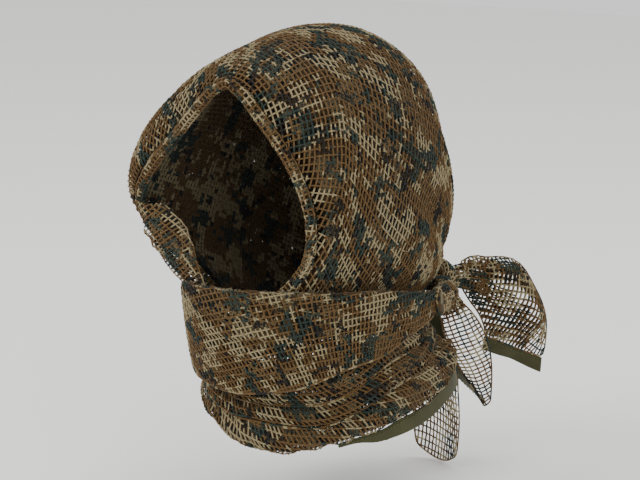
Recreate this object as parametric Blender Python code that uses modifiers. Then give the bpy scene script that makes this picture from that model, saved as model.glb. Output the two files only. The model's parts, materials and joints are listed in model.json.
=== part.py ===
"""A net scarf worn as a camouflage hood and face mask, knotted behind the neck.

The cloth is held by the head that wears it, so the head isn't part of the model. The origin
is the middle of that head at eye level: +X is the wearer's left, -Y is where the face looks,
and +Z is up. Every soft solid is a plain, slightly thick stand-in for one stretch of the net.
"""

import math

import bpy
from mathutils import Vector

# Driving dimensions, in metres.
HEAD_HALF_WIDTH = 0.076  # the head that the scarf is tied on, ear to ear
HEAD_HALF_LENGTH = 0.096  # forehead to the back of the skull
HEAD_TOP = 0.118  # eye level to the top of the skull
CLOTH = 0.0022  # the net with its gathers, as one wall
EDGE_ROLL_RADIUS = 0.0030  # the turned-in front edge of the hood
LINING_GAP = 0.0020  # air between the hood's two layers
CLEARANCE = 0.0006  # between pieces that lie against each other
HEM_WIDTH = 0.0110  # the woven tape that binds the scarf's short edges
HEM_THICKNESS = 0.0016
BUNDLE_RADIUS = 0.0070  # the face band drawn together on its way to the knot
BUNDLE_END_RADIUS = 0.0050
KNOT_CORE_RADIUS = 0.0055
KNOT_CORE_LENGTH = 0.0120
KNOT_LOOP_RADIUS = 0.0040  # half the thickness of the turn round the knot
FOLD_BULGE = 0.0022  # how far each neck fold stands out at its middle
HEM_FLARE = 0.0060  # how far the neck tape's rear end stands away from the neck
CREASE_CLOTH = 0.0022  # the thickest cloth that needs only CLEARANCE at a neck crease

# The shapes below are written in millimetres on this head. STRETCH holds the metres that one
# of those millimetres comes to on the real head, along X, Y and Z.
DESIGN_HEAD = (76.0, 96.0, 118.0)
STRETCH = (
    HEAD_HALF_WIDTH / DESIGN_HEAD[0],
    HEAD_HALF_LENGTH / DESIGN_HEAD[1],
    HEAD_TOP / DESIGN_HEAD[2],
)

# Mesh densities: quads along and across each soft piece.
HOOD_GRID = (22, 26)
BAND_GRID = (26, 5)
RING_GRID = (32, 4)
TAIL_GRID = (9, 8)

NET = ("net", (0.155, 0.125, 0.075), 0.9)
NET_INSIDE = ("net_inside", (0.11, 0.09, 0.06), 0.95)
TAPE = ("hem_tape", (0.075, 0.080, 0.030), 0.75)

# The hood as ten arches, from the edge that frames the face to the seam at the nape. Each
# arch runs from the left jaw over the crown to the right jaw.
EDGE_ARCH = [
    (31, -89, -44), (50, -86, -22), (52, -84, 8), (40, -88, 42), (20, -97, 74),
    (0, -101, 94),
    (-25, -98, 74), (-50, -92, 51), (-73, -90, 28), (-88, -81, 2), (-74, -66, -28),
    (-57, -52, -50), (-52, -44, -68),
]
CREST_ARCH = [
    (38, -86, -46), (58, -80, -22), (61, -77, 8), (52, -80, 44), (32, -88, 80),
    (0, -92, 103),
    (-35, -86, 93), (-62, -88, 71), (-88, -90, 42), (-98, -83, 8), (-83, -63, -26),
    (-63, -47, -50), (-55, -39, -70),
]
BROW_ARCH = [
    (60, -46, -50), (69, -46, -22), (72, -44, 10), (66, -46, 48), (43, -51, 91),
    (0, -58, 114),
    (-49, -54, 89), (-76, -53, 56), (-89, -52, 20), (-87, -46, -14), (-77, -38, -38),
    (-64, -33, -56), (-58, -31, -72),
]
TEMPLE_ARCH = [
    (62, -20, -53), (75, -18, -23), (77, -14, 10), (73, -12, 48), (48, -12, 96),
    (0, -12, 119),
    (-49, -14, 98), (-76, -14, 54), (-83, -16, 16), (-80, -18, -18), (-72, -18, -42),
    (-62, -18, -60), (-57, -18, -74),
]
# Behind the ears the hood follows the skull, the same on both sides.
REAR_ARCHES = [
    [(58, 6, -76), (76, 10, -32), (78, 14, 6), (73, 18, 45), (48, 23, 93), (0, 27, 117)],
    [(54, 27, -78), (70, 37, -36), (72, 43, 0), (67, 50, 36), (45, 58, 80), (0, 64, 100)],
    [(44, 44, -79), (59, 59, -42), (60, 66, -10), (54, 74, 23), (35, 81, 55), (0, 87, 69)],
    [(31, 55, -80), (43, 73, -48), (44, 84, -22), (39, 90, 5), (24, 95, 28), (0, 99, 37)],
    [(16, 60, -80), (22, 77, -57), (24, 89, -36), (20, 95, -17), (11, 99, -4), (0, 101, 2)],
    [(0, 61, -80), (0, 75, -66), (0, 87, -54), (0, 92, -44), (0, 96, -36), (0, 98, -30)],
]

# The cheek drape hangs from the hood's right front corner to the nose, as rows from its free
# edge to its outer side.
DRAPE_ROWS = [
    [(-82, -90, 9), (-88, -92, 9), (-92, -89, 8)],
    [(-67, -88, 5), (-81, -92, -1), (-91, -84, -7)],
    [(-50, -89, -8), (-70, -90, -15), (-87, -74, -22)],
    [(-36, -93, -21), (-58, -90, -30), (-79, -63, -36)],
    [(-20, -99, -37), (-42, -89, -44), (-62, -58, -50)],
    [(-15, -98, -50), (-38, -86, -58), (-54, -55, -64)],
]

# The wrap round the face and neck, as (height, reach to the left, to the right, forwards
# and back).
BAND_SECTIONS = [
    (-34, 82, 79, 112, 92), (-60, 82, 77, 110, 90), (-85, 80, 74, 107, 86),
    (-108, 78, 70, 102, 84),
]
NECK_SECTIONS = [
    (-64, 66, 65, 86, 68), (-84, 67, 65, 87, 72), (-96, 72, 66, 87, 83),
    (-110, 75, 67, 87, 92), (-130, 78, 68, 87, 96), (-160, 80, 68, 87, 98),
]

# Edges of the face band and creases of the neck, as (angle from the front, height). Positive
# angles turn to the wearer's left.
DRAPE_TO_BAND = 2.5  # from the middle of the drape's wall to the band's, where closest
BAND_ENDS = (-104, 100)
BAND_TOP = [(-104, -57), (-62, -55), (-28, -40), (0, -37), (30, -37), (60, -41), (100, -52)]
BAND_BOTTOM = [
    (-104, -72), (-60, -90), (-20, -104), (0, -106), (30, -102), (60, -88), (100, -69)
]
CREASES = [
    [(-180, -78), (-120, -78), (-60, -84), (0, -92), (35, -88), (85, -80), (125, -78)],
    [(-180, -88), (-120, -89), (-60, -100), (0, -116), (35, -117), (85, -93), (125, -87)],
    [(-180, -98), (-120, -100), (-60, -112), (0, -128), (35, -132), (85, -109), (125, -98)],
    [
        (-180, -112), (-120, -114), (-60, -129), (-30, -135), (0, -147), (20, -150),
        (40, -143), (60, -138), (85, -131), (125, -118),
    ],
]
HEM_ANGLES = (46, 142)  # where the tape shows below the lowest neck fold
HEM_SHOWN = 0.25  # the share of its width that shows at the tape's front end
HEM_FULL_ANGLE = 84  # from here on all of its width shows

KNOT = (33, 103, -68)
TAIL_DIRECTION = (0.6, 0.8, 0.0)  # level, away from the knot
BAND_HINGE = (27, 94, -68)  # where the band's two ends enter the knot
LEFT_BUNDLE = [(75, 38, -62), (65, 58, -64), (51, 76, -66), (34, 88, -68)]
RIGHT_BUNDLE = [(-73, 46, -64), (-56, 68, -66), (-29, 87, -67), (-2, 97, -68), (18, 97, -68)]

# The tails, as rows from the knot outwards. The first column is the edge that the tape binds
# on the lower tail, and the last row is the edge that it binds on the upper tail.
UPPER_TAIL_ROWS = [
    [(41, 114, -55), (46, 113, -61), (45, 116, -68), (41, 117, -74)],
    [(50, 129, -54), (60, 123, -62), (55, 126, -77), (43, 125, -86)],
    [(63, 147, -57), (76, 138, -68), (69, 137, -88), (48, 129, -95)],
    [(74, 158, -74), (88, 148, -86), (77, 144, -101), (51, 131, -103)],
    [(81, 167, -99), (87, 155, -108), (74, 148, -112), (53, 131, -109)],
    [(80, 166, -131), (75, 158, -127), (66, 147, -121), (52, 131, -112)],
]
LOWER_TAIL_ROWS = [
    [(31, 101, -85), (34, 101, -85), (38, 106, -85), (41, 112, -84)],
    [(33, 103, -98), (40, 105, -101), (47, 113, -100), (50, 122, -97)],
    [(37, 109, -118), (45, 110, -119), (52, 118, -117), (55, 128, -112)],
    [(43, 117, -137), (50, 117, -138), (55, 124, -136), (57, 131, -131)],
    [(49, 126, -153), (53, 124, -153), (56, 128, -151), (57, 132, -147)],
    [(53, 131, -163), (54, 130, -163), (55, 131, -162), (56, 133, -160)],
]
TAIL_HINGES = {
    "upper_tail": (40, 113, -66), "lower_tail": (36, 108, -80), "rear_flap": (28, 99, -112)
}
REAR_FLAP_ROWS = [
    [(10, 100, -114), (23, 100, -114), (35, 98, -113), (47, 93, -113)],
    [(9, 103, -136), (23, 103, -138), (37, 100, -137), (51, 93, -134)],
    [(9, 104, -164), (23, 105, -168), (38, 102, -168), (54, 94, -162)],
    [(12, 103, -192), (24, 105, -200), (37, 102, -201), (51, 95, -193)],
]


def clear_scene():
    """Removes what the file opened with."""
    for obj in list(bpy.data.objects):
        bpy.data.objects.remove(obj)


def fitted(point):
    """A point in millimetres on the design head, in metres on the head that wears this."""
    return Vector(c * metres for c, metres in zip(point, STRETCH))


def spline_point(points, at):
    """The point at a place from 0 to 1 along a Catmull-Rom curve through the points."""
    spans = len(points) - 1
    place = min(max(at, 0.0), 1.0) * spans
    i = min(int(place), spans - 1)
    t = place - i
    b, c = points[i], points[i + 1]
    a = points[i - 1] if i > 0 else 2 * b - c
    d = points[i + 2] if i + 2 <= spans else 2 * c - b
    return 0.5 * (
        2 * b + (c - a) * t + (2 * a - 5 * b + 4 * c - d) * t**2
        + (3 * b - a - 3 * c + d) * t**3
    )


def even_spline(points, count):
    """count points evenly spaced along the curve through the points."""
    fine = [spline_point(points, i / 200) for i in range(201)]
    along = [0.0]
    for a, b in zip(fine, fine[1:]):
        along.append(along[-1] + (b - a).length)
    found, k = [], 0
    for i in range(count):
        goal = along[-1] * i / (count - 1)
        while k < 199 and along[k + 1] < goal:
            k += 1
        span = along[k + 1] - along[k] or 1.0
        found.append(fine[k].lerp(fine[k + 1], (goal - along[k]) / span))
    return found


def surface(rows, along, across):
    """A smooth grid through rows of control points: along + 1 rows of across + 1 points."""
    lines = [even_spline([fitted(p) for p in row], across + 1) for row in rows]
    columns = [even_spline([line[j] for line in lines], along + 1) for j in range(across + 1)]
    return [[columns[j][i] for j in range(across + 1)] for i in range(along + 1)]


def inward_of(grid):
    """The inward direction at each point of the hood's grid."""
    rows, columns = len(grid), len(grid[0])
    found = []
    for i in range(rows):
        line = []
        for j in range(columns):
            down = grid[min(i + 1, rows - 1)][j] - grid[max(i - 1, 0)][j]
            over = grid[i][min(j + 1, columns - 1)] - grid[i][max(j - 1, 0)]
            line.append(over.cross(down).normalized())
        found.append(line)
    return found


def moved_in(grid, distance):
    """The hood's grid moved inwards by a distance."""
    return [
        [p + way * distance for p, way in zip(line, ways)]
        for line, ways in zip(grid, inward_of(grid))
    ]


def material(look):
    """The Principled material of a look: its name, colour and roughness."""
    name, colour, roughness = look
    made = bpy.data.materials.get(name)
    if made is None:
        made = bpy.data.materials.new(name)
        made.use_nodes = True
        shader = made.node_tree.nodes["Principled BSDF"]
        shader.inputs["Base Color"].default_value = (*colour, 1.0)
        shader.inputs["Roughness"].default_value = roughness
        shader.inputs["Metallic"].default_value = 0.0
    return made


def link(obj, look, hinge=None):
    """Puts an object in the scarf's collection with its material, and on its hinge."""
    obj.data.materials.append(material(look))
    SCARF.objects.link(obj)
    if hinge is not None:
        obj.parent = hinge
        obj.matrix_parent_inverse = hinge.matrix_basis.inverted()
    return obj


def hinge_at(name, place):
    """An empty on a joint's axis, for the pieces that turn about it."""
    empty = bpy.data.objects.new(name, None)
    empty.location = place
    empty.empty_display_size = 0.01
    SCARF.objects.link(empty)
    return empty


def cloth_piece(name, grid, look, thickness=CLOTH, ring=False, hinge=None):
    """A closed solid of even thickness on a grid of points. A ring's rows join up."""
    rows, columns = len(grid), len(grid[0])
    points = [p for line in grid for p in line]
    last = rows if ring else rows - 1
    faces = []
    for i in range(last):
        for j in range(columns - 1):
            a, b = i * columns + j, (i + 1) % rows * columns + j
            faces.append((a, a + 1, b + 1, b))
    mesh = bpy.data.meshes.new(name)
    mesh.from_pydata(points, [], faces)
    mesh.shade_smooth()
    obj = link(bpy.data.objects.new(name, mesh), look, hinge)
    wall = obj.modifiers.new("Wall", "SOLIDIFY")
    wall.thickness = thickness
    wall.offset = 0.0
    return obj


def bundle(name, centres, radii, look, hinge=None):
    """A round bundle of gathered cloth along a smooth line, with a radius at each point."""
    curve = bpy.data.curves.new(name, "CURVE")
    curve.dimensions = "3D"
    curve.bevel_depth = 1.0
    curve.bevel_resolution = 2
    curve.use_fill_caps = True
    line = curve.splines.new("POLY")
    line.points.add(len(centres) - 1)
    for point, centre, radius in zip(line.points, centres, radii):
        point.co = (*centre, 1.0)
        point.radius = radius
    return link(bpy.data.objects.new(name, curve), look, hinge)


def height_at(stations, angle):
    """A height from (angle, height) stations, smooth between them. Where the first station
    is at -180 degrees, its height is also the one at +180."""
    if stations[0][0] == -180:
        stations = stations + [(180, stations[0][1])]
    angle = min(max(angle, stations[0][0]), stations[-1][0])
    for (a0, h0), (a1, h1) in zip(stations, stations[1:]):
        if angle <= a1:
            t = (angle - a0) / (a1 - a0)
            return h0 + (h1 - h0) * t * t * (3 - 2 * t)
    return stations[-1][1]


def section_at(sections, height):
    """The reaches to the left, to the right, forwards and back at a height."""
    height = max(min(height, sections[0][0]), sections[-1][0])
    for upper, lower in zip(sections, sections[1:]):
        if height >= lower[0]:
            t = (height - lower[0]) / (upper[0] - lower[0])
            return [lo + (up - lo) * t for lo, up in zip(lower[1:], upper[1:])]
    return sections[-1][1:]


def wrap_point(sections, angle, height, out=0.0):
    """A point of the wrap: four quarters of ellipses at each height, with their own
    reaches. out moves it outwards, in metres."""
    left, right, front, back = section_at(sections, height)
    turn = math.radians(angle)
    x = (left if angle > 0 else right) * math.sin(turn)
    y = -(front if abs(angle) <= 90 else back) * math.cos(turn)
    point = fitted((x, y, height))
    return point + Vector((point.x, point.y, 0.0)).normalized() * out


def in_height(metres):
    """A length in metres as millimetres of height on the design head."""
    return metres / STRETCH[2]


def make_hood():
    """The outer layer, the lining inside it and the roll where the cloth turns back."""
    rear = [arch + [(-x, y, z) for x, y, z in reversed(arch[:-1])] for arch in REAR_ARCHES]
    outer = surface([EDGE_ARCH, CREST_ARCH, BROW_ARCH, TEMPLE_ARCH] + rear, *HOOD_GRID)
    edge, crest = outer[0], outer[1]
    back = EDGE_ROLL_RADIUS + CLEARANCE + CLOTH / 2
    front = [p + (q - p).normalized() * back for p, q in zip(edge, crest)]
    cloth_piece("hood_outer", [front] + outer[1:], NET)
    lining = moved_in(outer, CLOTH + LINING_GAP)
    cloth_piece("hood_lining", lining[1:-3], NET_INSIDE)
    bundle("hood_edge_roll", edge, [EDGE_ROLL_RADIUS] * len(edge), NET)


def make_drape():
    """The cloth that falls from the hood's right corner and crosses the right cheek. Where
    the two walls need more room than the band leaves, it moves in towards the face."""
    lack = max(CLOTH + CLEARANCE / 2 - DRAPE_TO_BAND * min(STRETCH), 0.0)
    grid = [
        [p - Vector((p.x, p.y, 0.0)).normalized() * lack for p in line]
        for line in surface(DRAPE_ROWS, 14, 6)
    ]
    cloth_piece("cheek_drape", grid, NET)


def make_face_band():
    """The band over nose and mouth, and the bundles that take its ends to the knot."""
    hinge = hinge_at("face_band_hinge", fitted(BAND_HINGE))
    along, across = BAND_GRID
    grid = []
    for i in range(along + 1):
        angle = BAND_ENDS[0] + (BAND_ENDS[1] - BAND_ENDS[0]) * i / along
        high, low = height_at(BAND_TOP, angle), height_at(BAND_BOTTOM, angle)
        heights = [high + (low - high) * j / across for j in range(across + 1)]
        grid.append([wrap_point(BAND_SECTIONS, angle, height) for height in heights])
    cloth_piece("face_band", grid, NET, hinge=hinge)
    steps = 9
    shrink = (BUNDLE_RADIUS - BUNDLE_END_RADIUS) / (steps - 1)
    radii = [BUNDLE_RADIUS - shrink * i for i in range(steps)]
    past_end = 2 * CLEARANCE + CLOTH / 2
    for side, row, centres in (("left", -1, LEFT_BUNDLE), ("right", 0, RIGHT_BUNDLE)):
        end = (grid[row][0] + grid[row][-1]) / 2
        route = [fitted(p) for p in centres]
        start = end + (route[0] - end).normalized() * past_end
        line = even_spline([start] + route, steps)
        bundle(f"band_bundle_{side}", line, radii, NET, hinge)


def neck_fold(name, upper, lower):
    """One fold round the neck, from one crease to the next, standing out at its middle.
    Thicker cloth needs a wider crease, because the folds lean towards each other there."""
    along, across = RING_GRID
    gap = in_height(CLEARANCE) * max(CLOTH / CREASE_CLOTH, 1.0)
    grid = []
    for i in range(along):
        angle = -180 + 360 * i / along
        high = height_at(upper, angle) - gap
        low = height_at(lower, angle) + gap
        line = []
        for j in range(across + 1):
            share = j / across
            out = FOLD_BULGE * math.sin(math.pi * share)
            height = high + (low - high) * share
            line.append(wrap_point(NECK_SECTIONS, angle, height, out))
        grid.append(line)
    cloth_piece(name, grid, NET, ring=True)


def make_neck():
    """Three folds under the chin, and the hem tape below the lowest of them."""
    names = ("chin_fold", "neck_fold", "collar_fold")
    for name, upper, lower in zip(names, CREASES, CREASES[1:]):
        neck_fold(name, upper, lower)
    along = 22
    grid = []
    for i in range(along + 1):
        angle = HEM_ANGLES[0] + (HEM_ANGLES[1] - HEM_ANGLES[0]) * i / along
        top = height_at(CREASES[-1], angle) - in_height(CLEARANCE)
        shown = height_at([(HEM_ANGLES[0], HEM_SHOWN), (HEM_FULL_ANGLE, 1.0)], angle)
        drops = [in_height(HEM_WIDTH) * shown * share for share in (0.0, 0.5, 1.0)]
        out = HEM_FLARE * height_at([(HEM_FULL_ANGLE, 0.0), (HEM_ANGLES[1], 1.0)], angle)
        grid.append([wrap_point(NECK_SECTIONS, angle, top - drop, out) for drop in drops])
    cloth_piece("neck_hem_tape", grid, TAPE, HEM_THICKNESS)


def make_knot():
    """The knot's core, along the way the tails leave, and the turn that grips it."""
    place = fitted(KNOT)
    way = Vector(TAIL_DIRECTION).normalized()
    turn = way.to_track_quat("Z", "Y").to_euler()
    bpy.ops.mesh.primitive_cylinder_add(
        vertices=20, radius=KNOT_CORE_RADIUS, depth=KNOT_CORE_LENGTH,
        location=place, rotation=turn,
    )
    core = bpy.context.object
    bpy.ops.mesh.primitive_torus_add(
        major_segments=24, minor_segments=12,
        major_radius=KNOT_CORE_RADIUS + CLEARANCE + KNOT_LOOP_RADIUS,
        minor_radius=KNOT_LOOP_RADIUS, location=place, rotation=turn,
    )
    loop = bpy.context.object
    for obj, name in ((core, "knot_core"), (loop, "knot_loop")):
        for collection in list(obj.users_collection):
            collection.objects.unlink(obj)
        obj.name = name
        link(obj, NET)


def strip_beside(edge, neighbour, width, gap):
    """A strip of tape that carries a surface on past its edge, as rows along the edge."""
    rows = []
    for point, inner in zip(edge, neighbour):
        way = (point - inner).normalized()
        rows.append([point + way * (gap + width * share) for share in (0.0, 0.5, 1.0)])
    return rows


def make_tails():
    """The scarf's two ends past the knot, each with its hem, and the flap at the nape."""
    along, across = TAIL_GRID
    hinges = {
        name: hinge_at(f"{name}_hinge", fitted(place)) for name, place in TAIL_HINGES.items()
    }
    upper = surface(UPPER_TAIL_ROWS, along, across)
    cloth_piece("upper_tail", upper, NET, hinge=hinges["upper_tail"])
    hem = strip_beside(upper[-1], upper[-2], HEM_WIDTH, CLEARANCE)
    cloth_piece("upper_tail_hem", hem, TAPE, HEM_THICKNESS, hinge=hinges["upper_tail"])
    lower = surface(LOWER_TAIL_ROWS, along, across)
    cloth_piece("lower_tail", lower, NET, hinge=hinges["lower_tail"])
    edge, inner = [line[0] for line in lower], [line[1] for line in lower]
    hem = strip_beside(edge, inner, HEM_WIDTH, CLEARANCE)
    cloth_piece("lower_tail_hem", hem, TAPE, HEM_THICKNESS, hinge=hinges["lower_tail"])
    flap = surface(REAR_FLAP_ROWS, along, across)
    cloth_piece("rear_flap", flap, NET, hinge=hinges["rear_flap"])


clear_scene()
SCARF = bpy.data.collections.new("net_scarf_mask")
bpy.context.scene.collection.children.link(SCARF)
make_hood()
make_drape()
make_face_band()
make_neck()
make_knot()
make_tails()
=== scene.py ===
# %% [markdown]
# A camouflage net scarf, worn as a hood and a face mask and tied behind the neck. It is one
# rectangle of open net, so the lesson is how to make cloth that one can see through: each
# stretch of the scarf is laid out flat, its threads are drawn on the flat cloth, and the
# threads are carried back to where the cloth lies on the head.

# %% Load the frame
import json
import math

import bmesh
import bpy
import numpy as np
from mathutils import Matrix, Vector
from mathutils.bvhtree import BVHTree

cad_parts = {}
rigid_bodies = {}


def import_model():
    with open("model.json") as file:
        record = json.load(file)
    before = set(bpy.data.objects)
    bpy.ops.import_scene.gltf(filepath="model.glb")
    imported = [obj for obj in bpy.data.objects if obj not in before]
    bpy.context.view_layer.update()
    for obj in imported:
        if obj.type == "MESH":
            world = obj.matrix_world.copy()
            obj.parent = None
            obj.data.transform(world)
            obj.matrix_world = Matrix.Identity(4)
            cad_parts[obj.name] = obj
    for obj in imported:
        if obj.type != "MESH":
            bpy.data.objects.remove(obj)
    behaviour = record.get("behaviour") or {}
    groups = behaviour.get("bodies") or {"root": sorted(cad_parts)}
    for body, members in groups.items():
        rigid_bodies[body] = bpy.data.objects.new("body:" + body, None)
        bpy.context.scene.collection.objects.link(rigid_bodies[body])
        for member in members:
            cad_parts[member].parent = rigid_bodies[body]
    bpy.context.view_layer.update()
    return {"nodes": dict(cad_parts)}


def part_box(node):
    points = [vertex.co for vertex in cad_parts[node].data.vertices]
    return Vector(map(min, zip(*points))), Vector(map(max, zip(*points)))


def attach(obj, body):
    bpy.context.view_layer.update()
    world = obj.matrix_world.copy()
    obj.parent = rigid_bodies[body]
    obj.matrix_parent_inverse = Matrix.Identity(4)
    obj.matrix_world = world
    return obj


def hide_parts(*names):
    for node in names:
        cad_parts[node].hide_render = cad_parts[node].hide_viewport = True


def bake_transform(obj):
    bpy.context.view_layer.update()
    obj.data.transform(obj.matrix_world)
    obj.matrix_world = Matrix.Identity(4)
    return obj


for startup in list(bpy.data.objects):
    bpy.data.objects.remove(startup)
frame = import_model()
bpy.ops.object.select_all(action="DESELECT")
MM = 0.001
print("solids in the frame:", len(frame["nodes"]))

# %% [markdown]
# The camera comes first. It looks at the wrap from the wearer's front left, a little from
# above, with a long lens, as for a catalogue picture of a small thing.

# %% Camera
AIM = Vector((0.0, 0.0, -0.0256))
TURN, LIFT, REACH = math.radians(35), math.radians(12), 1.4
LENS = 117.3  # millimetres, long, so that near and far parts keep their sizes
away = Vector((math.sin(TURN) * math.cos(LIFT), -math.cos(TURN) * math.cos(LIFT), math.sin(LIFT)))
bpy.ops.object.camera_add(location=AIM + away * REACH)
camera = bpy.context.object
camera.rotation_euler = (-away).to_track_quat("-Z", "Y").to_euler()
camera.data.lens = LENS
bpy.context.scene.camera = camera
print("camera stands at", [round(c, 3) for c in camera.location])

# %% [markdown]
# Colours are written as they look on a screen and turned to the linear values that the
# shader wants. One small function adds a shader node with its settings and its links, so
# that each material below reads from the real thing's finish to its nodes.


# %% Colour and node helpers
def linear(hex_colour):
    """An sRGB colour such as "#6b4f2e" as linear red, green, blue and a full alpha."""
    parts = [int(hex_colour[i : i + 2], 16) / 255 for i in (1, 3, 5)]
    return [p / 12.92 if p <= 0.04045 else ((p + 0.055) / 1.055) ** 2.4 for p in parts] + [1.0]


def add_node(material, kind, settings=None, **inputs):
    """A shader node with its settings, and each input set to a value or linked to a socket."""
    node = material.node_tree.nodes.new(kind)
    for name, value in (settings or {}).items():
        setattr(node, name, value)
    for name, value in inputs.items():
        socket = node.inputs[int(name[1:]) if name[0] == "_" else name.replace("_", " ")]
        if isinstance(value, bpy.types.NodeSocket):
            material.node_tree.links.new(value, socket)
        else:
            socket.default_value = value
    return node


def new_material(name, **settings):
    """A Principled material whose even values sit on the shader's own sockets."""
    material = bpy.data.materials.new(name)
    material.use_nodes = True
    shader = material.node_tree.nodes["Principled BSDF"]
    for key, value in settings.items():
        shader.inputs[key.replace("_", " ")].default_value = value
    return material, shader


# %% [markdown]
# The net is knitted polyester yarn, dyed brown and printed. Polyester yarn is matt with a
# faint soft sheen at grazing angles, so roughness is high and there is a little sheen. The
# print is a digital camouflage: blocks of about 3 mm in khaki, dark green and black over
# coyote brown. The blocks come from snapping the cloth's own coordinates to that grid
# before they go into smooth noise, so the print follows the cloth through every fold.

# %% Printed net material
BLOCK = 3.2 * MM  # one block of the print
BROWN, KHAKI, GREEN, BLACK = "#5a4323", "#86795a", "#222f28", "#191611"


def uneven_and_raised(material, shader, colour, patches, shades, direction, lines, relief):
    """The last nodes of a cloth: its colour goes lighter and darker in patches, from the first
    to the second of shades, and a wave of fine lines gives it a bump of relief. For the inside
    net, shades also hold its painted shade."""
    noise = add_node(material, "ShaderNodeTexNoise", None, **patches).outputs["Fac"]
    shade = add_node(
        material, "ShaderNodeMapRange", None, _0=noise, _1=0.3, _2=0.7, _3=shades[0], _4=shades[1]
    ).outputs[0]
    # worn is the colour with its uneven patches and, on the inside net, the painted shade
    worn = add_node(
        material, "ShaderNodeVectorMath", {"operation": "SCALE"}, _0=colour, Scale=shade
    ).outputs[0]
    material.node_tree.links.new(worn, shader.inputs["Base Color"])
    bands = {"wave_type": "BANDS", "bands_direction": direction}
    wave = add_node(material, "ShaderNodeTexWave", bands, **lines).outputs["Fac"]
    bump = add_node(
        material, "ShaderNodeBump", None, Strength=relief[0], Distance=relief[1], Height=wave
    )
    material.node_tree.links.new(bump.outputs[0], shader.inputs["Normal"])


def camouflage_net(name, shade):
    """Printed polyester net. shade is painted shade: it darkens the whole print of a layer that lies
    inside, under the layers over it.
    """
    material, shader = new_material(
        name, Roughness=0.85, IOR=1.5, Specular_IOR_Level=0.3, Sheen_Weight=0.04, Sheen_Roughness=0.5
    )
    cloth = add_node(material, "ShaderNodeUVMap", {"uv_map": "cloth"}).outputs["UV"]
    blocks = add_node(
        material, "ShaderNodeVectorMath", {"operation": "SNAP"},
        _0=cloth, _1=(BLOCK, BLOCK * 0.8, BLOCK),
    ).outputs[0]
    colour = None
    layers = (  # colour, patches per metre, smallest noise value that is printed, place
        (KHAKI, 40.0, 0.522, (3.1, 0.4, 0.0)),
        (GREEN, 40.0, 0.560, (7.7, 2.9, 1.0)),
        (BLACK, 54.0, 0.600, (1.3, 8.2, 2.0)),
    )
    for print_colour, scale, least, place in layers:
        moved = add_node(
            material, "ShaderNodeVectorMath", {"operation": "ADD"}, _0=blocks, _1=place
        ).outputs[0]
        noise = add_node(
            material, "ShaderNodeTexNoise", None,
            Vector=moved, Scale=scale, Detail=3.5, Roughness=0.72,
        ).outputs["Fac"]
        mask = add_node(
            material, "ShaderNodeMath", {"operation": "GREATER_THAN"}, _0=noise, _1=least
        ).outputs[0]
        colour = add_node(
            material, "ShaderNodeMix", {"data_type": "RGBA"},
            _0=mask, _6=colour or linear(BROWN), _7=linear(print_colour),
        ).outputs[2]
    yarn = add_node(material, "ShaderNodeUVMap", {"uv_map": "yarn"}).outputs["UV"]
    fibres = {"Vector": cloth, "Scale": 900.0, "Detail": 2.0}
    twist = {"Vector": yarn, "Scale": 1.0, "Distortion": 1.0}
    uneven_and_raised(
        material, shader, colour, fibres, (0.72 * shade, 1.22 * shade), "DIAGONAL", twist,
        (0.5, 0.12 * MM),
    )
    return material


NETS = {  # the material of each slot
    "net": camouflage_net("printed_polyester_net", 1.0),
    # the inside net is the same print at half brightness, painted shade for layers that lie under others
    "net_inside": camouflage_net("printed_polyester_net_painted_shade", 0.5),
}
print("print blocks of", BLOCK / MM, "mm")

# %% [markdown]
# The hem is a woven olive tape, folded over the scarf's short edges. It is closed cloth with
# fine ribs across it, smoother than the net, so it catches a soft even light.

# %% Olive tape material
RIB = 0.7 * MM  # spacing of the ribs in the tape, drawn twice as coarse so that it shows


def woven_tape(name, hex_colour):
    """Ribbed polyester tape, from the tape's own coordinates."""
    material, shader = new_material(
        name, Roughness=0.75, IOR=1.5, Specular_IOR_Level=0.3, Sheen_Weight=0.06, Sheen_Roughness=0.4
    )
    place = add_node(material, "ShaderNodeTexCoord").outputs["Object"]
    patches = {"Vector": place, "Scale": 90.0, "Detail": 3.0}
    ribs = {"Vector": place, "Scale": 0.3 / RIB, "Distortion": 0.6}
    uneven_and_raised(
        material, shader, linear(hex_colour)[:3], patches, (0.85, 1.12), "Z", ribs,
        (0.35, 0.2 * MM),
    )
    return material


TAPE = woven_tape("woven_olive_tape", "#38381c")
THREAD = woven_tape("olive_sewing_thread", "#494a28")

# %% [markdown]
# Each soft solid in the frame is a wall about 2 mm thick. To get a surface for the cloth,
# a copy has its doubled corners merged, and only the wall that faces the viewer is kept.
# Where the cloth is folded double, the wall behind and the edge between them stay too, so
# that the threads can run round the fold.


# %% From a solid to a surface
def activate(piece):
    """Makes a piece the only selected one, and the active one."""
    bpy.ops.object.select_all(action="DESELECT")
    piece.select_set(True)
    bpy.context.view_layer.objects.active = piece


def read(items, attribute, width, kind=np.float32):
    """One attribute of a mesh's points, corners or triangles, a row for each."""
    values = np.empty(len(items) * width, kind)
    items.foreach_get(attribute, values)
    return values.reshape(-1, width)


def vertex_places(mesh):
    """The mesh's points as an array."""
    return read(mesh.vertices, "co", 3).astype(float)


def in_edit_mode(*steps):
    """Runs each step, an operator and its settings, in edit mode on the active piece."""
    bpy.ops.object.mode_set(mode="EDIT")
    for operator, settings in steps:
        operator(**settings)
    bpy.ops.object.mode_set(mode="OBJECT")


def solid_places(node):
    """The points of a solid of the frame as an array."""
    return vertex_places(frame["nodes"][node].data)


def show(piece, material):
    """Gives a new object its material and puts it in the scene."""
    piece.data.materials.append(material)
    bpy.context.scene.collection.objects.link(piece)


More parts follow.
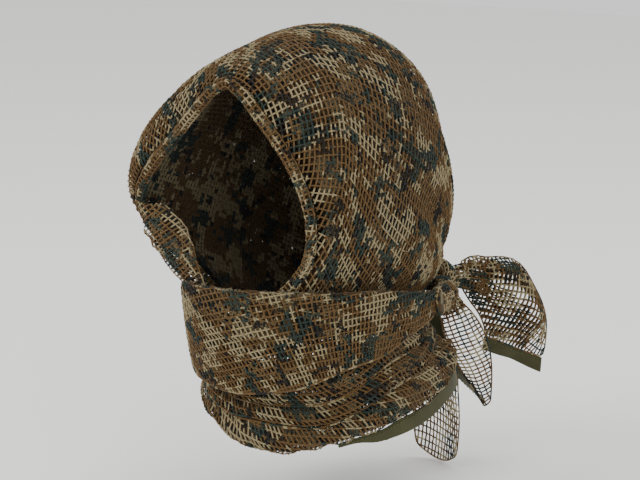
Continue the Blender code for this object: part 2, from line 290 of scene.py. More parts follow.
def copy_of(node, name):
    """A copy of a solid of the frame, its doubled corners merged."""
    piece = bpy.data.objects.new(name, frame["nodes"][node].data.copy())
    piece.data.materials.clear()
    bpy.context.scene.collection.objects.link(piece)
    activate(piece)
    bpy.context.tool_settings.mesh_select_mode = (False, False, True)
    quads = {"face_threshold": math.radians(50), "shape_threshold": math.radians(80)}
    in_edit_mode(
        (bpy.ops.mesh.select_all, {"action": "SELECT"}),
        (bpy.ops.mesh.remove_doubles, {"threshold": 1e-6}),
        (bpy.ops.mesh.tris_convert_to_quads, quads),
    )
    return piece


def select_only(piece, chosen):
    """Selects the faces for which chosen(face) is true, and nothing else."""
    mesh = piece.data
    mesh.vertices.foreach_set("select", [False] * len(mesh.vertices))
    mesh.edges.foreach_set("select", [False] * len(mesh.edges))
    mesh.polygons.foreach_set("select", [bool(chosen(face)) for face in mesh.polygons])


def linked_wall(piece, seed, facing):
    """The numbers of the faces of one wall: those that run on smoothly from a first face."""
    facing = Vector(facing).normalized()
    turned = [f for f in piece.data.polygons if f.normal.dot(facing) > 0.5]
    first = min(turned, key=lambda f: (f.center - Vector(seed)).length)
    number = first.index
    select_only(piece, lambda face: face.index == number)
    in_edit_mode((bpy.ops.mesh.faces_select_linked_flat, {"sharpness": math.radians(62)}))
    found = {f.index for f in piece.data.polygons if f.select}
    return found, piece.data.polygons[number].center.copy()


def keep_only(piece, numbers):
    """Deletes every face but these."""
    select_only(piece, lambda face: face.index not in numbers)
    in_edit_mode((bpy.ops.mesh.delete, {"type": "FACE"}))


def wall_of(node, name, seed, facing, fold_way=None):
    """The wall of a solid that faces one way. With fold_way, also the wall behind it and the
    edge that joins the two on that side."""
    piece = copy_of(node, name)
    outer, middle = linked_wall(piece, seed, facing)
    keep = set(outer)
    if fold_way is not None:
        inner, _ = linked_wall(piece, middle, -Vector(facing))
        way = Vector(fold_way).normalized()
        rim = {
            f.index for f in piece.data.polygons
            if f.index not in outer | inner and f.normal.dot(way) > 0.5
        }
        keep |= inner | rim
    keep_only(piece, keep)
    return piece


# %% [markdown]
# A ring of cloth is slit at the back, so that it can be laid out flat. Unwrapping with the
# least stretch then does what a seamstress would do with a pattern. The flat cloth is
# scaled back to its true size and turned so that its length runs the way we name.


# %% Slit and flatten
def slit_at_back(piece):
    """Cuts a ring of cloth open along its middle line behind the neck."""
    cut = bmesh.new()
    cut.from_mesh(piece.data)
    everything = cut.verts[:] + cut.edges[:] + cut.faces[:]
    bmesh.ops.bisect_plane(cut, geom=everything, plane_co=(0, 0, 0), plane_no=(1, 0, 0), dist=1e-5)
    seam = [e for e in cut.edges if all(abs(v.co.x) < 2e-5 and v.co.y > 0 for v in e.verts)]
    bmesh.ops.split_edges(cut, edges=seam)
    cut.to_mesh(piece.data)
    cut.free()


def flatten(piece, start, end, levels=2):
    """Lays the cloth out flat, its length from start to end, then smooths the surface. The
    flat places, in metres, are left in the UV map "flat"."""
    mesh = piece.data
    for layer in list(mesh.uv_layers):
        mesh.uv_layers.remove(layer)
    mesh.uv_layers.new(name="flat")
    activate(piece)
    in_edit_mode(
        (bpy.ops.mesh.select_all, {"action": "SELECT"}),
        (bpy.ops.uv.select_all, {"action": "SELECT"}),
        (bpy.ops.uv.unwrap, {"method": "MINIMUM_STRETCH", "margin": 0.0}),
    )
    flat, corner = corner_places(mesh)
    on_surface = sum(face.area for face in mesh.polygons)
    laid_out = 0.0
    for face in mesh.polygons:
        ring = flat[list(face.loop_indices)]
        x, y = ring[:, 0], ring[:, 1]
        laid_out += 0.5 * (x @ np.roll(y, -1) - y @ np.roll(x, -1))
    flat = flat * math.sqrt(on_surface / abs(laid_out))
    if laid_out < 0:
        flat[:, 0] *= -1
    points = vertex_places(mesh)
    ends = [flat[np.where(corner == nearest(points, p))[0][0]] for p in (start, end)]
    turn = -math.atan2(*(ends[1] - ends[0])[::-1])
    flat = flat @ np.array([[math.cos(turn), math.sin(turn)], [-math.sin(turn), math.cos(turn)]])
    flat -= flat.mean(axis=0)
    mesh.uv_layers["flat"].data.foreach_set("uv", flat.astype(np.float32).ravel())
    smooth = piece.modifiers.new("Smooth", "SUBSURF")
    smooth.levels = smooth.render_levels = levels
    bpy.ops.object.modifier_apply(modifier=smooth.name)


def corner_places(mesh):
    """The flat place of each face corner, and the point that each corner belongs to."""
    flat = read(mesh.uv_layers["flat"].data, "uv", 2).astype(float)
    return flat, read(mesh.loops, "vertex_index", 1, np.int32)[:, 0]


def nearest(points, place):
    """The number of the point nearest a place."""
    return int(((points - np.array(place)) ** 2).sum(axis=1).argmin())


# %% [markdown]
# A Cloth keeps the flat layout and the worn shape side by side. Asked for a place on the
# flat cloth, it gives the point and the outward direction on the worn cloth, or nothing
# where the flat cloth has been cut away.


# %% Look up a place on the cloth
class Cloth:
    def __init__(self, points, normals, triangles, flat):
        self.points, self.normals = points, normals
        self.triangles, self.flat = triangles, flat
        sheet = np.column_stack([flat, np.zeros(len(flat))])
        self.tree = BVHTree.FromPolygons(sheet.tolist(), triangles.tolist())
        self.low, self.high = flat.min(axis=0), flat.max(axis=0)

    def at(self, x, y):
        """(point, outward direction) on the worn cloth, or None off its edge."""
        hit, _, number, _ = self.tree.ray_cast(Vector((x, y, 1.0)), Vector((0.0, 0.0, -1.0)))
        if hit is None:
            return None
        ids = self.triangles[number]
        (ax, ay), (bx, by), (cx, cy) = self.flat[ids]
        area = (bx - ax) * (cy - ay) - (cx - ax) * (by - ay)
        if abs(area) < 1e-16:
            return None
        s = ((x - ax) * (cy - ay) - (cx - ax) * (y - ay)) / area
        t = ((bx - ax) * (y - ay) - (x - ax) * (by - ay)) / area
        share = np.array([1 - s - t, s, t])
        return share @ self.points[ids], share @ self.normals[ids]

    def area(self, keep=None):
        """The flat area, in square metres, of all the cloth or of where keep(point) is true."""
        a, b, c = (self.flat[self.triangles[:, k]] for k in range(3))
        u, v = b - a, c - a
        areas = np.abs(u[:, 0] * v[:, 1] - u[:, 1] * v[:, 0]) / 2
        if keep is not None:
            areas = areas[[bool(keep(p)) for p in self.points[self.triangles].mean(axis=1)]]
        return float(areas.sum())


def cloth_from(piece, wrinkle=None):
    """The Cloth of a flattened surface, moved out or in by wrinkle(points, normals). The
    surface itself is then removed."""
    mesh = piece.data
    mesh.calc_loop_triangles()
    points = vertex_places(mesh)
    normals = read(mesh.vertex_normals, "vector", 3).astype(float)
    triangles = read(mesh.loop_triangles, "vertices", 3, np.int32)
    corners, corner = corner_places(mesh)
    flat = np.zeros((len(points), 2))
    flat[corner] = corners
    if wrinkle is not None:
        points = points + normals * wrinkle(points, normals, flat)[:, None]
    bpy.data.objects.remove(piece)
    return Cloth(points, normals, triangles, flat)


def grid_triangles(rows, columns):
    """The triangles of a grid of points that is numbered row by row."""
    corner = (np.arange(rows - 1)[:, None] * columns + np.arange(columns - 1)[None, :]).ravel()
    return np.concatenate([
        np.column_stack([corner, corner + 1, corner + columns + 1]),
        np.column_stack([corner, corner + columns + 1, corner + columns]),
    ])


# %% [markdown]
# The net itself: warp yarns and weft yarns that pass over and under each other, on the hood
# 3.5 mm and 5.6 mm apart, and closer where the cloth is gathered. On the flat cloth the
# crossings form a grid that may lean, because a net shears into lozenges long before its
# yarns stretch. Each yarn is a slim tube with four to six flat sides through its crossings,
# closed at both ends.

# %% Threads
WARP_PITCH, WEFT_PITCH = 3.5 * MM, 5.6 * MM
WARP_RADIUS, WEFT_RADIUS = 0.56 * MM, 0.50 * MM
INNER_PITCH, INNER_THICKNESS = (2.7 * MM, 3.1 * MM), 1.15  # net that is crumpled together
LIFT_AT_CROSSING = 0.36 * MM  # how far a yarn rides over or under the one it crosses
EDGE_RADIUS = 0.75 * MM  # the doubled yarn along a cut or turned edge
YARN_MAP = 1500  # units of the twist's map for each metre of yarn


class Net:
    """Collects tubes, and turns them into one mesh with the maps "cloth" and "yarn"."""

    def __init__(self):
        self.points, self.faces, self.print, self.yarn = [], [], [], []
        self.count = 0
        self.cloth_area = 0.0  # the flat area of every layer drawn, in square metres

    def tube(self, line, outward, radius, places, sides=5):
        """One yarn along a line of points, flattened a little against the cloth, and much
        more where it has four sides, as crumpled net inside is."""
        line, outward = np.asarray(line), np.asarray(outward)
        if len(line) < 2:
            return
        along = np.gradient(line, axis=0)
        along /= np.linalg.norm(along, axis=1)[:, None] + 1e-12
        side = np.cross(along, outward)
        side /= np.linalg.norm(side, axis=1)[:, None] + 1e-12
        up = np.cross(side, along)
        turn = 2 * math.pi * (np.arange(sides) + 0.5) / sides
        wide, high = (1.9, 0.5) if sides == 4 else (1.1, 0.9)
        across = side[:, None, :] * (np.cos(turn) * radius * wide)[None, :, None]
        raised = up[:, None, :] * (np.sin(turn) * radius * high)[None, :, None]
        rows = len(line)
        self.points.append((line[:, None, :] + across + raised).reshape(-1, 3))
        start = self.count + np.arange(rows - 1)[:, None] * sides + np.arange(sides)[None, :]
        over = self.count + np.arange(rows - 1)[:, None] * sides + (np.arange(sides) + 1) % sides
        quads = np.stack([start, over, over + sides, start + sides], axis=-1).reshape(-1, 4)
        last = self.count + (rows - 1) * sides
        self.faces.append((quads, [
            list(range(self.count + sides - 1, self.count - 1, -1)),
            list(range(last, last + sides)),
        ]))
        self.print.append(np.repeat(np.asarray(places), sides, axis=0))
        length = np.concatenate([[0], np.cumsum(np.linalg.norm(np.diff(line, axis=0), axis=1))])
        self.yarn.append(np.column_stack([
            np.repeat(length * YARN_MAP, sides), np.tile(np.arange(sides) / sides * 2, rows)
        ]))
        self.count += rows * sides

    def mesh(self, name):
        """All the tubes as one mesh."""
        mesh = bpy.data.meshes.new(name)
        points = np.concatenate(self.points)
        quads = np.concatenate([q for q, _ in self.faces])
        caps = [cap for _, pair in self.faces for cap in pair]
        sizes = np.concatenate([np.full(len(quads), 4), [len(cap) for cap in caps]])
        corners = np.concatenate([quads.ravel()] + caps).astype(np.int32)
        mesh.vertices.add(len(points))
        mesh.vertices.foreach_set("co", points.astype(np.float32).ravel())
        mesh.loops.add(len(corners))
        mesh.loops.foreach_set("vertex_index", corners)
        mesh.polygons.add(len(sizes))
        starts = np.concatenate([[0], np.cumsum(sizes)[:-1]]).astype(np.int32)
        mesh.polygons.foreach_set("loop_start", starts)
        mesh.update(calc_edges=True)
        for layer, values in (("cloth", self.print), ("yarn", self.yarn)):
            values = np.concatenate(values)[corners]
            mesh.uv_layers.new(name=layer).data.foreach_set("uv", values.astype(np.float32).ravel())
        mesh.validate()
        mesh.shade_smooth()
        return mesh


# %% [markdown]
# The weave is drawn on the flat cloth, where it is a plain grid, and each crossing is looked
# up on the worn cloth. A yarn runs through neighbouring crossings. Where the cloth ends, the
# last stretch is halved a few times to find the edge, so no yarn stops short of it.


# %% Weave
def straight(a, b):
    """A grid of crossings that is square to the flat cloth."""
    return a, b


def edge_of(cloth, inside, outside, steps=4):
    """The last place that is still on the cloth on the way from inside to outside."""
    for _ in range(steps):
        middle = (inside + outside) / 2
        if cloth.at(*middle) is None:
            outside = middle
        else:
            inside = middle
    return inside


def weave(net, cloth, shape=straight, print_at=(0.0, 0.0), pitch=(WARP_PITCH, WEFT_PITCH),
          sides=5, thickness=1.0, lift=0.0, keep=None):
    """Draws both sets of yarns on the flat cloth and carries them to where it is worn.
    shape(a, b) gives the flat place of the crossing that is a along and b up the net."""
    net.cloth_area += cloth.area(keep)
    reach = float((cloth.high - cloth.low).max()) * 0.95 + 0.02
    steps = [np.arange(-reach, reach, p) for p in pitch]
    grid = np.meshgrid(*steps, indexing="ij")
    middle = (cloth.high + cloth.low) / 2
    x, y = (place + m for place, m in zip(shape(*grid), middle))
    slack = 0.01
    near = (
        (x > cloth.low[0] - slack) & (x < cloth.high[0] + slack)
        & (y > cloth.low[1] - slack) & (y < cloth.high[1] + slack)
    )
    found = {}
    for i, j in zip(*np.nonzero(near)):
        hit = cloth.at(x[i, j], y[i, j])
        if hit is not None and (keep is None or keep(hit[0])):
            found[(i, j)] = hit

    def add_yarn(run, is_weft, radius):
        """One yarn through a run of crossings, carried on to the cloth's edge at both ends."""
        line, outward, places = [], [], []
        for i, j in run:
            point, normal = found[(i, j)]
            over = 1 if ((i + j) % 2 == 0) == is_weft else -1
            line.append(point + normal * (over * LIFT_AT_CROSSING + lift))
            outward.append(normal)
            places.append((grid[0][i, j] + print_at[0], grid[1][i, j] + print_at[1]))
        for end, way in ((0, -1), (-1, 1)):
            i, j = run[end]
            ni, nj = (i + way, j) if is_weft else (i, j + way)
            if not (0 <= ni < x.shape[0] and 0 <= nj < x.shape[1]):
                continue
            inside, outside = np.array([x[i, j], y[i, j]]), np.array([x[ni, nj], y[ni, nj]])
            last = edge_of(cloth, inside, outside)
            if np.abs(last - inside).max() < 0.4 * MM:
                continue
            hit = cloth.at(*last)
            at = 0 if end == 0 else len(line)
            line.insert(at, hit[0] + hit[1] * lift)
            outward.insert(at, hit[1])
            places.insert(at, places[end])
        net.tube(line, outward, radius * thickness, places, sides)

    along, up = (range(len(s)) for s in steps)
    for threads, crossings, is_weft, radius in (
        (along, up, False, WARP_RADIUS), (up, along, True, WEFT_RADIUS)
    ):
        for thread in threads:
            run = []
            for step in crossings:
                key = (step, thread) if is_weft else (thread, step)
                if key in found:
                    run.append(key)
                elif run:
                    add_yarn(run, is_weft, radius)
                    run = []
            if run:
                add_yarn(run, is_weft, radius)


# %% [markdown]
# Along an edge the real net has a doubled yarn. An edge of the mesh that only one triangle
# uses lies on the cloth's border, so those edges are linked into rings, and a thicker yarn
# follows each ring.


# %% Edge yarn
def bind_edge(net, cloth, radius=EDGE_RADIUS, keep=None):
    """A thicker yarn round the cloth's edge, as along a selvage."""
    ends = np.sort(np.concatenate([cloth.triangles[:, [0, 1]], cloth.triangles[:, [1, 2]],
                                   cloth.triangles[:, [2, 0]]]), axis=1)
    pairs, count = np.unique(ends, axis=0, return_counts=True)
    beside = {}
    for p, q in pairs[count == 1]:
        beside.setdefault(int(p), []).append(int(q))
        beside.setdefault(int(q), []).append(int(p))
    left = set(beside)
    while left:
        first = min(left)
        ring, here = [first], first
        left.discard(first)
        while True:
            onward = [n for n in beside[here] if n in left]
            if not onward:
                break
            here = onward[0]
            left.discard(here)
            ring.append(here)
        if first in beside[here] and len(ring) > 3:
            ring.append(first)
        ring = ring[::2] + [ring[-1]]
        parts, part = [], []
        for n in ring:
            if keep is None or keep(cloth.points[n]):
                part.append(n)
            else:
                parts.append(part)
                part = []
        for part in parts + [part]:
            if len(part) > 2:
                net.tube(cloth.points[part], cloth.normals[part], radius, cloth.flat[part], 6)


# %% [markdown]
# A finished net is put on its body, or left in place where it has a root, takes the place
# of its solid, and the size of flat cloth that it was cut from is printed. Every layer drawn
# counts as cloth, so the area is added up as the layers are drawn.

# %% Finish a net
CURVED_STRIP = 0.32  # a layout that fills less of its box than this is a curved strip


def cut_as(cloth, area):
    """Prints the cut of a net piece as a sheet. area is the flat area of all the layers drawn,
    and the cut is the layout, made wider by what they come to."""
    length, width = sorted((cloth.high - cloth.low).tolist(), reverse=True)
    layers = area / cloth.area()
    width *= layers
    if area < CURVED_STRIP * length * width:  # such a strip is cut from a straight one
        width = area / length
    print("  cut", round(width, 3), "x", round(length, 3), "m, area", round(area, 4),
          "in", round(layers, 2), "layers")


def finish_net(net, name, slot, body, solid, cloth, root=None, core=None):
    """The collected yarns as one piece that rides on a body and stands for its solid. With a
    root, (start, end), it is put on no body and stays where it was drawn; the two places are
    not used. A core is joined to it, and its area counts as cloth too."""
    piece = bpy.data.objects.new(name, net.mesh(name))
    show(piece, NETS[slot])
    if root is None:
        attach(piece, body)
    else:
        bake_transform(piece)
    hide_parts(solid)
    print(name, "has", len(piece.data.polygons), "faces")
    area = net.cloth_area
    if core is not None:
        area += sum(face.area for face in core.data.polygons)
        activate(piece)
        core.select_set(True)
        bpy.ops.object.join()
    cut_as(cloth, area)


def worn_cloth(node, seed, facing, length, wrinkle=None, fold_way=None, slit=False, levels=2):
    """The Cloth that lies on one wall of a solid, or on both with the fold between them."""
    surface = wall_of(node, f"{node}_surface", seed, facing, fold_way)
    if slit:
        slit_at_back(surface)
    flatten(surface, *length, levels=levels)
    return cloth_from(surface, wrinkle)


def dense_layers(name, node, body, seed, facing, length, depths, slit=False, wrinkle=None):
    """Close layers of net behind a piece, each turned a little against the one before, in the inside
    net's print that is darkened as painted shade.
    """
    cloth = worn_cloth(node, seed, facing, length, wrinkle, slit=slit, levels=1)
    net = Net()
    for number, depth in enumerate(depths):
        lean = 0.12 * (number + 1) * (-1) ** number
        weave(net, cloth, lambda a, b: (a + lean * b, b - lean * a), (0.4 + 0.3 * number, 0.2),
              INNER_PITCH, 4, INNER_THICKNESS, depth)
    # the dense layers take the inside net's print, darkened as painted shade
    finish_net(net, name, "net_inside", body, node, cloth)


# %% [markdown]
# Rolls, bundles and the knot are cloth wound round a line. The line is found from the solid
# that stands there, and the net is then drawn round it as on any other cloth.


# %% Cloth round a line
def mean_line(points, place, count, blur):
    """The points' mean line, from a number for each point that says how far along it lies."""
    line = []
    for at in np.linspace(place.min(), place.max(), count):
        share = np.exp(-(((place - at) / blur) ** 2))
        line.append((share[:, None] * points).sum(axis=0) / share.sum())
    return np.array(line)


def middle_line(node, centre, axes, count):
    """The middle line of a tube that runs round a centre, from the angle of its points."""
    points = solid_places(node)
    p, q = ((points[:, k] - centre[k]) for k in axes)
    angle = np.unwrap(np.sort(np.arctan2(q, p)))
    order = np.argsort(np.arctan2(q, p))
    gap = np.argmax(np.diff(np.concatenate([angle, [angle[0] + 2 * math.pi]])))
    order = np.roll(order, -(gap + 1))
    angle = np.unwrap(np.arctan2(q, p)[order])
    return mean_line(points[order], angle, count, 0.45 * ((angle[-1] - angle[0]) / 26))


def evenly(line, count):
    """The same line through count evenly spaced points."""
    line = np.asarray(line, float)
    along = np.concatenate([[0], np.cumsum(np.linalg.norm(np.diff(line, axis=0), axis=1))])
    at = np.linspace(0, along[-1], count)
    return np.column_stack([np.interp(at, along, line[:, k]) for k in range(3)]), along[-1]


def tube_cloth(line, radius, rows, around=24, lobes=0, depth=0.0, twist=0.0, flatten_to=None):
    """A Cloth wrapped round a line. radius(share) gives its radius along the line, and lobes
    are gathers that run along it. flatten_to(share) squeezes the section into an oval."""
    line, length = evenly(line, rows)
    along = np.gradient(line, axis=0)
    along /= np.linalg.norm(along, axis=1)[:, None]
    side = np.cross(along, [0.0, 0.0, 1.0])
    side /= np.linalg.norm(side, axis=1)[:, None]
    up = np.cross(side, along)
    share = np.linspace(0, 1, rows)
    turn = np.linspace(0, 2 * math.pi, around + 1)
    size = np.array([radius(s) for s in share])
    oval = np.array([flatten_to(s) if flatten_to else 1.0 for s in share])
    ripple = 1 + depth * np.sin(lobes * turn[None, :] + twist * share[:, None])
    out = (
        side[:, None, :] * (np.cos(turn)[None, :] * size[:, None] * oval[:, None] * ripple)[..., None]
        + up[:, None, :] * (np.sin(turn)[None, :] * size[:, None] * ripple)[..., None]
    )
    points = (line[:, None, :] + out).reshape(-1, 3)
    normals = (out / np.linalg.norm(out, axis=2)[..., None]).reshape(-1, 3)
    around_length = 2 * math.pi * size.mean() * (1 + 0.5 * depth * lobes)
    flat = np.stack(np.meshgrid(share * length, turn / (2 * math.pi) * around_length,
                                indexing="ij"), axis=-1).reshape(-1, 2)
    return Cloth(points, normals, grid_triangles(rows, around + 1), flat)


# %% [markdown]
# Net that is laid over a head is never smooth. Soft folds run from the knot forwards over
# the hood, and tight ones run along the wraps. Each is a small in-and-out movement of the
# surface before the threads are drawn, worked out from where a point lies.

# %% Folds of the hood
KNOT = Vector(np.array(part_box("knot_core")).mean(axis=0).tolist())


def ease(value, start, end):
    """0 before start, 1 after end, and smooth between."""
    t = np.clip((value - start) / (end - start), 0.0, 1.0)
    return t * t * (3 - 2 * t)


def hood_folds(points, normals, flat):
    """Folds that fan out from the knot, deepest half way up the sides."""
    x, y, z = points.T
    from_knot = np.hypot(y - KNOT.y, z - KNOT.z)
    fan = np.arctan2(z - KNOT.z, KNOT.y - y)
    side = ease(np.abs(x), 0.02, 0.06)
    depth = 1.5 * MM * side * ease(from_knot, 0.02, 0.07) * (1 - ease(from_knot, 0.12, 0.19))
    folds = np.sin(fan * 11 + 40 * x + 0.8) + 0.5 * np.sin(fan * 23 + 2.0)
    soft = 0.7 * MM * np.sin(55 * y + 30 * z) * np.sin(47 * z - 21 * x + 1.0)
    return depth * folds + soft


def hood_lattice(a, b):
    """The hood's net: square by the face, sheared down and back over the sides."""
    behind = np.maximum(a + 0.105, 0.0)
    drop = 0.05 * behind + 0.035 * np.tanh(behind / 0.055)
    wave = 1.2 * MM * np.sin(60 * a + 31 * b) + 1.0 * MM * np.sin(43 * b + 1.3)
    return a - 0.10 * b + wave, b - drop + 1.3 * MM * np.sin(52 * a + 1)


# %% [markdown]
# The hood is the middle of the scarf, laid over the head. Its outer layer is drawn first,
# with a thicker yarn along its edges. Three close nets inside it are drawn from the lining's
# two walls, so that the holes look dark, as they do where net lies on net. Their print is
# darkened by half as painted shade for the layers inside.

# %% Hood
CROWN_FRONT, NAPE = (0.0, -0.095, 0.10), (0.0, 0.098, -0.03)
roll_line, _ = evenly(middle_line("hood_edge_roll", (-0.010, 0, 0.010), (0, 2), 60), 240)


def away_from_roll(point):
    """Whether a point of the hood's edge isn't where it goes into the front roll."""
    return np.linalg.norm(roll_line - point, axis=1).min() > 6 * MM


hood = worn_cloth("hood_outer", (0, 0, 0.2), (0, 0, 1), (CROWN_FRONT, NAPE), hood_folds)
net = Net()
weave(net, hood, hood_lattice)
bind_edge(net, hood, keep=away_from_roll)
finish_net(net, "hood_net", "net", "wrap", "hood_outer", hood)

for name, facing, offset in (
    ("hood_lining_net", (0, 0, 1), 0.15), ("hood_inner_net", (0, 0, -1), -0.22),
    ("hood_inmost_net", (0, 0, -1), 0.36),
):
    lining = worn_cloth("hood_lining", (0, 0, 0.115), facing, (CROWN_FRONT, NAPE),
                        hood_folds if facing[2] > 0 else None, levels=1)
    net = Net()
    weave(net, lining, lambda a, b: (a + offset * b, b - offset * a), (offset, 0.1),
          INNER_PITCH, 4, INNER_THICKNESS, 1.3 * MM if name == "hood_inmost_net" else 0.0)
    # the lining nets take the inside net's print, darkened as painted shade
    finish_net(net, name, "net_inside", "wrap", "hood_lining", lining)

# %% [markdown]
# The scarf's front edge is rolled under, so what frames the face is a soft roll. The net runs
# from the hood into the roll without a seam, so it gets no edge yarn there.

# %% Rolled front edge
roll = tube_cloth(roll_line, lambda s: 3.6 * MM, 90, lobes=2, depth=0.08, twist=14)
net = Net()
weave(net, roll, straight, (0.6, 0.0), pitch=(3.3 * MM, 3.8 * MM))
inner_roll = tube_cloth(roll_line, lambda s: 2.2 * MM, 70, around=10)
weave(net, inner_roll, straight, (0.7, 0.3), pitch=(3.0 * MM, 3.4 * MM), sides=4)
finish_net(net, "hood_edge_net", "net", "wrap", "hood_edge_roll", roll)

# %% [markdown]
# Below the hood's right front corner the cloth hangs as a drape and crosses the cheek. It is
# folded double along its free edge, with long folds that run down to the nose.


# %% Cheek drape
def drape_folds(points, normals, flat):
    """Long folds down the drape."""
    across = flat[:, 1]
    hanging = 1 - ease(points[:, 2], -0.025, 0.0)
    long_folds = 1.3 * np.sin(across * 520 + 25 * flat[:, 0]) + 0.6 * np.sin(flat[:, 0] * 130)
    return MM * hanging * long_folds


def drape_lattice(a, b):
    """The drape's net hangs across its folds."""
    return a + 0.35 * b, b + 0.8 * MM * np.sin(90 * a)


def below_corner(point):
    """Whether a point of the drape is below the hood's corner, which hides its top."""
    return point[2] < 3.5 * MM


drape = worn_cloth("cheek_drape", (-0.07, -0.095, -0.02), (-0.5, -0.8, 0.1),
                   ((-0.087, -0.090, 0.009), (-0.03, -0.075, -0.057)), drape_folds, (0.7, -0.3, 0.5))
tuck = ease(drape.points[:, 2], -0.034, 0.0)[:, None] * np.array([6.5, 3.0, -1.0]) * MM
drape.points = drape.points + tuck
net = Net()
weave(net, drape, drape_lattice, (0.05, 0.2), pitch=(3.4 * MM, 4.6 * MM), keep=below_corner)
bind_edge(net, drape, keep=lambda p: below_corner(p) and away_from_roll(p))
finish_net(net, "cheek_drape_net", "net", "wrap", "cheek_drape", drape)

# %% [markdown]
# The face band is the scarf's one end, folded double and drawn tight over nose and mouth.
# Its top edge is a straight fold. The cloth is gathered at both ends, so shallow creases run
# along it, closer together towards the knot.


# %% Face band
def share_across(points, node):
    """How far up its piece each point lies, from 0 at the lower edge to 1 at the upper."""
    solid = solid_places(node)
    turn = np.arctan2(points[:, 0], -points[:, 1])
    of_solid = np.arctan2(solid[:, 0], -solid[:, 1])
    bins = np.linspace(-math.pi, math.pi, 37)
    centres, low, high = [], [], []
    for start, end in zip(bins, bins[1:]):
        inside = solid[(of_solid >= start) & (of_solid <= end)]
        if len(inside):
            centres.append((start + end) / 2)
            low.append(inside[:, 2].min())
            high.append(inside[:, 2].max())
    low, high = np.interp(turn, centres, low), np.interp(turn, centres, high)
    return (points[:, 2] - low) / (high - low), turn


def outwards(points, normals):
    """1 where the cloth faces away from the neck, and -1 where it faces the neck."""
    return np.where((normals[:, :2] * points[:, :2]).sum(axis=1) > 0, 1.0, -1.0)


def bellies(x):
    """Rounded bellies with a sharp crease between them, one belly for each unit of x."""
    return 2 * np.abs(np.sin(math.pi * x)) ** 0.6 - 1


def band_folds(points, normals, flat):
    """Creases along the band, which fade at its tight top edge."""
    share, turn = share_across(points, "face_band")
    spread = 0.65 + 0.35 * np.sin(2.2 * turn + 0.4) + 0.3 * np.sin(5 * turn + 1)
    fade = ease(1 - share, 0.02, 0.16)
    creases = bellies(5.6 * share + 0.5 * np.sin(1.6 * turn) + 0.2 * np.sin(4.1 * turn + 2))
    fine = 0.45 * bellies(11 * share + 0.6 * np.sin(3 * turn))
    return outwards(points, normals) * 1.75 * MM * fade * spread * (creases + fine)


def band_lattice(a, b):
    """The band's yarns: level ones that dip at the front, and cross ones that lean."""
    lean = 0.42 - 4.2 * (a + 0.03)
    lean = np.clip(lean, -0.35, 0.55)
    return a - lean * b + 0.8 * MM * np.sin(70 * b + 30 * a), b + 0.9 * MM * np.sin(38 * a)


AT_FRONT, FORWARDS = (0, -0.2, -0.07), (0, -1, 0)
BAND_LENGTH = ((-0.07, -0.05, -0.07), (0.07, -0.05, -0.07))
band = worn_cloth("face_band", AT_FRONT, FORWARDS, BAND_LENGTH, band_folds, (0, 0, 1))
net = Net()
weave(net, band, band_lattice, (0.31, 0.12), pitch=(3.4 * MM, 4.0 * MM))
bind_edge(net, band)
finish_net(net, "face_band_net", "net", "face_mask", "face_band", band)
dense_layers("face_band_inner_net", "face_band", "face_mask", AT_FRONT, FORWARDS, BAND_LENGTH,
             (-1.6 * MM, -2.6 * MM))

# %% [markdown]
# At its two ends the band is drawn together into a roll as thick as a finger and carried to
# the knot. Gathered net is many layers deep, so each roll is a lobed skin of net over a
# closed core of the same cloth, which keeps light from showing through. The core's print is
# darkened by half as painted shade.


# %% Gathered rolls
def line_of(node, start, count):
    """The middle line of a straight-ish tube, from the end nearest to start."""
    points = solid_places(node)
    centre = points.mean(axis=0)
    way = np.linalg.svd(points - centre, full_matrices=False)[2][0]
    place = (points - centre) @ way
    if (np.array(start) - centre) @ way > 0:
        place, way = -place, -way
    return mean_line(points, place, count, 0.5 * ((place.max() - place.min()) / 9))


def core_under(cloth, rows, inset):
    """A closed core that lies a little inside a tube of cloth."""
    columns = len(cloth.points) // rows
    grid = (cloth.points - cloth.normals * inset).reshape(rows, columns, 3)[:, :-1]
    core = bmesh.new()
    ring = [[core.verts.new(p) for p in row] for row in grid]
    for lower, upper in zip(ring, ring[1:]):
        for k in range(columns - 1):
            n = (k + 1) % (columns - 1)
            core.faces.new((lower[k], lower[n], upper[n], upper[k]))
    for row in (ring[0], ring[-1]):
        core.faces.new(row)
    bmesh.ops.recalc_face_normals(core, faces=core.faces[:])
    for layer in ("cloth", "yarn"):
        core.loops.layers.uv.new(layer)
    print_map = core.loops.layers.uv["cloth"]
    for face in core.faces:
        for loop in face.loops:
            loop[print_map].uv = (loop.vert.co.x + loop.vert.co.y, loop.vert.co.z)
    mesh = bpy.data.meshes.new("core")
    core.to_mesh(mesh)
    core.free()
    mesh.shade_smooth()
    piece = bpy.data.objects.new("core", mesh)
    # the core takes the inside net's print, darkened as painted shade
    show(piece, NETS["net_inside"])
    return piece


ROLL_ROWS = 40  # rings of points along a roll
rolls = (  # solid, its end at the band, radius there and at the knot in millimetres
    ("band_bundle_left", (0.08, 0.03, -0.06), 8.6, 6.2),
    ("band_bundle_right", (-0.08, 0.03, -0.06), 8.0, 5.6),
)
for node, start, wide, slim in rolls:
    line = line_of(node, start, 24)
    first = np.array(line[0]) - (np.array(line[1]) - np.array(line[0])) * 1.2
    line = np.vstack([first, line])
    skin = tube_cloth(
        line, lambda s: (wide + (slim - wide) * s) * MM, ROLL_ROWS, around=40, lobes=5,
        depth=0.10, twist=3.0, flatten_to=lambda s: 0.45 + 0.5 * float(ease(s, 0.0, 0.5)),
    )
    net = Net()
    weave(net, skin, straight, (0.8, 0.15), pitch=(2.6 * MM, 2.9 * MM))
    finish_net(net, f"{node}_net", "net", "face_mask", node, skin,
               core=core_under(skin, ROLL_ROWS, 0.9 * MM))

# %% [markdown]
# Three folds go round the neck. In front they hang in festoons, and they rise and close up
# towards the knot. Every fold is a doubled strip whose lower edge is a soft turned fold, with
# smaller creases along it.


